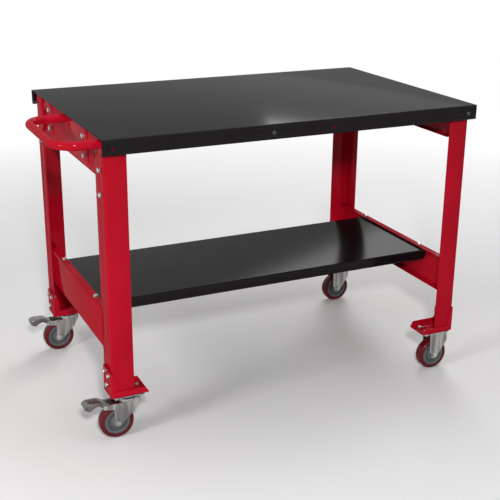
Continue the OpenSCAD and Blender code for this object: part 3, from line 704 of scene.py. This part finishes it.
combined(pedal, baked(rod("hub", 48, HUB_R, pedal_w - HUB_INSET), FRONT), "UNION")
combined(pedal, baked(rod("bore", 32, PIN_BORE_R, 2 * pedal_w), FRONT), "DIFFERENCE")
for caster in LEFT:
    low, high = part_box(f"{caster}_pedal_pin")
    node = f"{caster}_pedal"
    piece = copy_of(pedal, node + "_finished", Matrix.Translation((low + high) / 2))
    # The darker zinc on the pedals is painted shade.
    dressed(piece, node, angle=30, finish=painted_shade_zinc)
bpy.data.objects.remove(pedal)

# %% [markdown]
# The push handle is one tube bent twice. Its ring of points starts on the near leg, is pushed out
# along the arm, spun round the first bend, pushed along the grip, spun again and pushed back to
# the end plate: the way a tube bender makes it, so its skin is even all round the bends. Its feet
# stand flat on the leg and the end plate, where a bolt in a plug holds each of them.

# %% Push handle
HANDLE_BEND = 64 * MM


def ring_moved(offset):
    """Pushes the selected ring along and draws a straight tube behind it."""
    bpy.ops.mesh.extrude_region_move(TRANSFORM_OT_translate={"value": offset})


def ring_bent(centre):
    """Spins the selected ring a quarter turn, seen from above, round an upright axis."""
    bpy.ops.mesh.spin(steps=18, angle=pi / 2, center=centre, axis=(0, 0, 1))


low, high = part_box("push_handle")
tube_r = (high.z - low.z) / 2
level = (high.z + low.z) / 2
near_y, far_y = low.y + tube_r, high.y - tube_r
near_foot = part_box("leg_front_left")[0].x
bend_x = low.x + tube_r + HANDLE_BEND
handle = primitive("push_handle_finished", bpy.ops.mesh.primitive_circle_add, vertices=40,
                   radius=tube_r, location=(near_foot, near_y, level), rotation=(0, pi / 2, 0))
bpy.ops.object.transform_apply()
edit_all(handle)
ring_moved((bend_x - near_foot, 0, 0))
ring_bent((bend_x, near_y + HANDLE_BEND, level))
ring_moved((0, far_y - near_y - 2 * HANDLE_BEND, 0))
ring_bent((bend_x, far_y - HANDLE_BEND, level))
ring_moved((high.x - bend_x, 0, 0))
bpy.ops.mesh.select_all(action="SELECT")
bpy.ops.mesh.fill_holes(sides=0)
bpy.ops.mesh.select_all(action="SELECT")
bpy.ops.mesh.normals_make_consistent(inside=False)
edit_done()
dressed(handle, "push_handle", angle=40)

# %% [markdown]
# A wheel is turned: the tyre is cast over the rim with soft shoulders and a slight crown, so that
# it rolls easily. Its centre is moulded with a rim, a step, a thin web and a hub. Each is drawn as
# half a section in millimetres, mirrored, softened at its corners and spun round the axle, as on a
# lathe.

# %% Wheels
WELD = 0.01 * MM
WHEEL_STEPS = 96


def turned(name, outline, steps):
    """Turns a closed outline of (radius, height) points round the Z axis."""
    piece = primitive(name, bpy.ops.mesh.primitive_circle_add, vertices=len(outline))
    for vertex, (radius, height) in zip(piece.data.vertices, outline):
        vertex.co = (radius, 0, height)
    edit_all(piece)
    bpy.ops.mesh.spin(steps=steps, angle=2 * pi, center=(0, 0, 0), axis=(0, 0, 1))
    bpy.ops.mesh.select_all(action="SELECT")
    bpy.ops.mesh.remove_doubles(threshold=WELD)
    bpy.ops.mesh.normals_make_consistent(inside=False)
    edit_done()
    return piece


def radius_and_half(node):
    """Half the height and half the width of a node that lies about a wheel's axle."""
    low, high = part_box(node)
    return (high.z - low.z) / 2 / MM, (high.y - low.y) / 2 / MM


def both_sides(half):
    """A closed outline from one side's points, from the inside out, and their mirror image."""
    return in_mm(half + [(radius, -height) for radius, height in reversed(half)])


r, h = radius_and_half("fl_tyre")
rim, hub = radius_and_half("fl_wheel_centre")
TYRE_SECTION = both_sides([
    (rim + 0.02, h - 1.2), (rim + 1.2, h - 0.2), (r - 7, h), (r - 2.6, h - 2.2),
    (r - 0.3, h - 6.5), (r, 4)])
CENTRE_SECTION = both_sides([
    (6.05, hub), (11.5, hub), (12.6, hub - 1.2), (13.2, h - 2.4), (19.6, h - 3.2), (21, h - 5),
    (22.5, 5.6), (25, 5), (rim - 11.5, 5.4), (rim - 10, 7), (rim - 9.2, h - 3.6),
    (rim - 8, h - 2.4), (rim - 2.6, h - 1.6), (rim - 1.6, h - 2.4), (rim, h - 2.4)])
tyre = turned("tyre", softened(TYRE_SECTION, 2.2 * MM, 4), WHEEL_STEPS)
centre = turned("wheel_centre", softened(CENTRE_SECTION, 0.9 * MM, 3), WHEEL_STEPS)
for caster in LEFT + RIGHT:
    low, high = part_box(f"{caster}_tyre")
    place = Matrix.Translation((low + high) / 2) @ FRONT
    for part, model in (("tyre", tyre), ("wheel_centre", centre)):
        node = f"{caster}_{part}"
        dressed(copy_of(model, node + "_finished", place), node)
for model in (tyre, centre):
    bpy.data.objects.remove(model)

# %% [markdown]
# Bolts hold this bench together and show everywhere. Their places could be written down one by
# one, but the model already has them: each bolt is a separate solid, whose washer or head is its
# widest part. So a node is parted into its solids, and each is measured for what it is, where its
# washer lies and which way it points. A nut is known by being short and flat.

# %% Finding the fasteners
NUT_WIDEST = 15.5 * MM
NUT_THICKEST = 10 * MM
NUT_FLATNESS = 5 * MM
RIM_SHARE = 0.97


def solids_of(node):
    """The separate solids of a CAD node, each as a list of its corners."""
    mesh = frame["nodes"][node].data
    spot = [tuple(round(x / MICRON) for x in vertex.co) for vertex in mesh.vertices]
    group = {}

    def head(key):
        while group.setdefault(key, key) != key:
            key = group[key]
        return key

    for face in mesh.polygons:
        keys = [head(spot[k]) for k in face.vertices]
        for key in keys[1:]:
            group[head(key)] = head(keys[0])
    found = {}
    for key in dict.fromkeys(spot):
        found.setdefault(head(key), []).append(Vector(key) * MICRON)
    return list(found.values())


def fastener_at(points, head_r):
    """What a fastener is, where its face is, which way it points and how long it is."""
    low = Vector(min(p[k] for p in points) for k in range(3))
    high = Vector(max(p[k] for p in points) for k in range(3))
    middle = (low + high) / 2
    (least, thin), _, (most, long) = sorted((high[k] - low[k], k) for k in range(3))
    is_nut = most - least > NUT_FLATNESS and least < NUT_THICKEST and most < NUT_WIDEST
    axis = Vector(1.0 if k == (thin if is_nut else long) else 0.0 for k in range(3))
    if is_nut:
        return "nut", middle - axis * least / 2, axis, least
    reach = RIM_SHARE * head_r
    rim = [p for p in points if ((p - middle) - axis * (p - middle).dot(axis)).length > reach]
    if sum((p - middle).dot(axis) for p in rim) < 0:
        axis = -axis
    under = min((p - middle).dot(axis) for p in rim)
    length = under - min((p - middle).dot(axis) for p in points)
    return "bolt", middle + axis * under, axis, length


print("leg_bolts:", len(solids_of("leg_bolts")), "separate solids")

# %% [markdown]
# A real hexagon head narrows at its top, and a nut narrows at both ends, so that the corners don't
# cut a hand. Both start as a six-sided cylinder. An inset draws a smaller hexagon on its end, and
# the corners outside it are pushed down.

# %% Hexagon heads and nuts
HEX_FLATS = 13 * MM
HEX_R = HEX_FLATS / cos(pi / 6) / 2
HEX_CUT = 1.1 * MM
CUT_SLOPE = 0.45
ROLLED_EDGE = 0.35 * MM


def hexagon(name, height, chamfered):
    """A hexagon on z = 0 that narrows at the levels in chamfered."""
    piece = primitive(name, bpy.ops.mesh.primitive_cylinder_add, vertices=6, radius=HEX_R,
                      depth=height, location=(0, 0, height / 2))
    bpy.ops.object.transform_apply()
    for level in chamfered:
        only(piece)
        bpy.ops.object.mode_set(mode="EDIT")
        bpy.ops.mesh.select_all(action="DESELECT")
        edit_done()
        for face in piece.data.polygons:
            face.select = abs(face.center.z - level) < WELD
        bpy.ops.object.mode_set(mode="EDIT")
        bpy.ops.mesh.inset(thickness=HEX_CUT, depth=0)
        edit_done()
        for vertex in piece.data.vertices:
            on_rim = Vector((vertex.co.x, vertex.co.y)).length > HEX_R - HEX_CUT / 2
            if on_rim and abs(vertex.co.z - level) < WELD:
                vertex.co.z += HEX_CUT * (CUT_SLOPE if level == 0 else -CUT_SLOPE)
    return bevelled(piece, ROLLED_EDGE)


def nut_model(height):
    """A nut on z = 0, chamfered at both ends."""
    return hexagon("nut_model", height, [height, 0])


print("hexagon", round(2 * HEX_R / MM, 2), "mm across its corners,", HEX_FLATS / MM, "across flats")

# %% [markdown]
# A bolt's head sits on a washer with rolled edges, and its thread shows beyond the nut. The washer
# and the threaded shank are turned. The thread is drawn as plain ridges and not as a helix, which
# would need many more faces for the same look.

# %% Model of a bolt
HEAD_H = 5.3 * MM
WASHER_R = 8 * MM
WASHER_BORE_R = 4.05 * MM
WASHER_T = 1.6 * MM
AXIS_R = 0.05 * MM
THREAD_R = 3.95 * MM
THREAD_ROOT_R = 3.4 * MM
THREAD_PITCH = 1.25 * MM
THREAD_LEAD = 0.5 * MM
THREAD_TURNS = 7
THREAD_RIDGE = ((THREAD_ROOT_R, 0), (THREAD_R, 0.4), (THREAD_R, 0.52))
THREAD_END = ((THREAD_ROOT_R, 0.96), (THREAD_R, 1.52))


def joined(name, pieces):
    """Joins pieces into one that has their meshes."""
    bpy.ops.object.select_all(action="DESELECT")
    for piece in pieces:
        piece.select_set(True)
    bpy.context.view_layer.objects.active = pieces[0]
    bpy.ops.object.join()
    whole = bpy.context.object
    whole.name = name
    return whole


def bolt_model(length):
    """A bolt with its washer's underside at z = 0 and its shank down to -length."""
    head = baked(hexagon("hexagon", HEAD_H, [HEAD_H]), Matrix.Translation((0, 0, WASHER_T)))
    ring = [(WASHER_BORE_R, 0), (WASHER_R, 0), (WASHER_R, WASHER_T), (WASHER_BORE_R, WASHER_T)]
    washer = turned("washer", softened(ring, ROLLED_EDGE), 40)
    outline = [(AXIS_R, -length)]
    for k in range(THREAD_TURNS):
        level = -length + THREAD_LEAD + k * THREAD_PITCH
        outline += [(radius, level + up * THREAD_PITCH) for radius, up in THREAD_RIDGE]
    outline += [(radius, level + up * THREAD_PITCH) for radius, up in THREAD_END]
    outline += [(THREAD_R, WASHER_T), (AXIS_R, WASHER_T)]
    return joined("bolt_model", [head, washer, turned("shank", outline, 24)])


print("thread:", THREAD_TURNS, "ridges", THREAD_PITCH / MM, "mm apart")

# %% [markdown]
# The skirts have low domed screws with a hexagon socket instead of a head, black like the sheet.
# The dome is turned from its outline, given as shares of its radius and its height, and the
# socket is cut out with a six-sided cylinder.

# %% Model of a domed screw
BUTTON_R = 7 * MM
BUTTON_H = 4 * MM
BUTTON_DOME = ((1, 0.275), (0.86, 0.62), (0.62, 0.94), (0.45, 1))
SOCKET_FLATS = 5 * MM
SOCKET_DEPTH = 2.6 * MM


def button_model(length):
    """A domed screw with a hexagon socket, its head's underside at z = 0."""
    dome = [(BUTTON_R * across, BUTTON_H * up) for across, up in BUTTON_DOME]
    outline = [(AXIS_R, -length), (THREAD_R, -length), (THREAD_R, 0), (BUTTON_R, 0), *dome,
               (AXIS_R, BUTTON_H)]
    screw = turned("button_model", softened(outline, 0.4 * MM), 48)
    socket = rod("socket", 6, SOCKET_FLATS / cos(pi / 6) / 2, 2 * SOCKET_DEPTH)
    combined(screw, baked(socket, Matrix.Translation((0, 0, BUTTON_H))), "DIFFERENCE")
    return screw


print("screw socket:", SOCKET_FLATS / MM, "mm across flats,", SOCKET_DEPTH / MM, "mm deep")

# %% [markdown]
# Each kind and length is modelled once and set at each place that the model gives. The plain ones
# of a node are replaced together by one piece, which has the same body.

# %% Bolts and nuts
MODELS = {}


def fastened(node, head_r, bolt, finish):
    """Stands modelled bolts and nuts in the place of a node's plain ones."""
    made = []
    for points in solids_of(node):
        kind, place, axis, size = fastener_at(points, head_r)
        key = (kind, head_r, round(size, 5))
        if key not in MODELS:
            MODELS[key] = bolt(size) if kind == "bolt" else nut_model(size)
        turn = axis.to_track_quat("Z", "X").to_matrix().to_4x4()
        made.append(copy_of(MODELS[key], kind, Matrix.Translation(place) @ turn))
    print(node, len(made), "fasteners")
    dressed(joined(node + "_finished", made), node, angle=30, finish=finish)


# Bolts take the brighter zinc, a painted highlight.
for node in ("bearer_bolts", "leg_bolts", "shelf_bolts", "shoe_bolts", "caster_bolts"):
    fastened(node, WASHER_R, bolt_model, painted_highlight_zinc)
for caster in LEFT + RIGHT:
    fastened(f"{caster}_axle_bolt", WASHER_R, bolt_model, painted_highlight_zinc)
fastened("skirt_screws", BUTTON_R, button_model, blackened_steel)
for model in MODELS.values():
    bpy.data.objects.remove(model)

# %% [markdown]
# Last, the box of the dressed bench is printed. The finish only breaks edges and rounds heads, so
# it should agree with the box of the model.

# %% Sizes
low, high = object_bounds()
print("dressed:", [round(x, 4) for x in high - low])
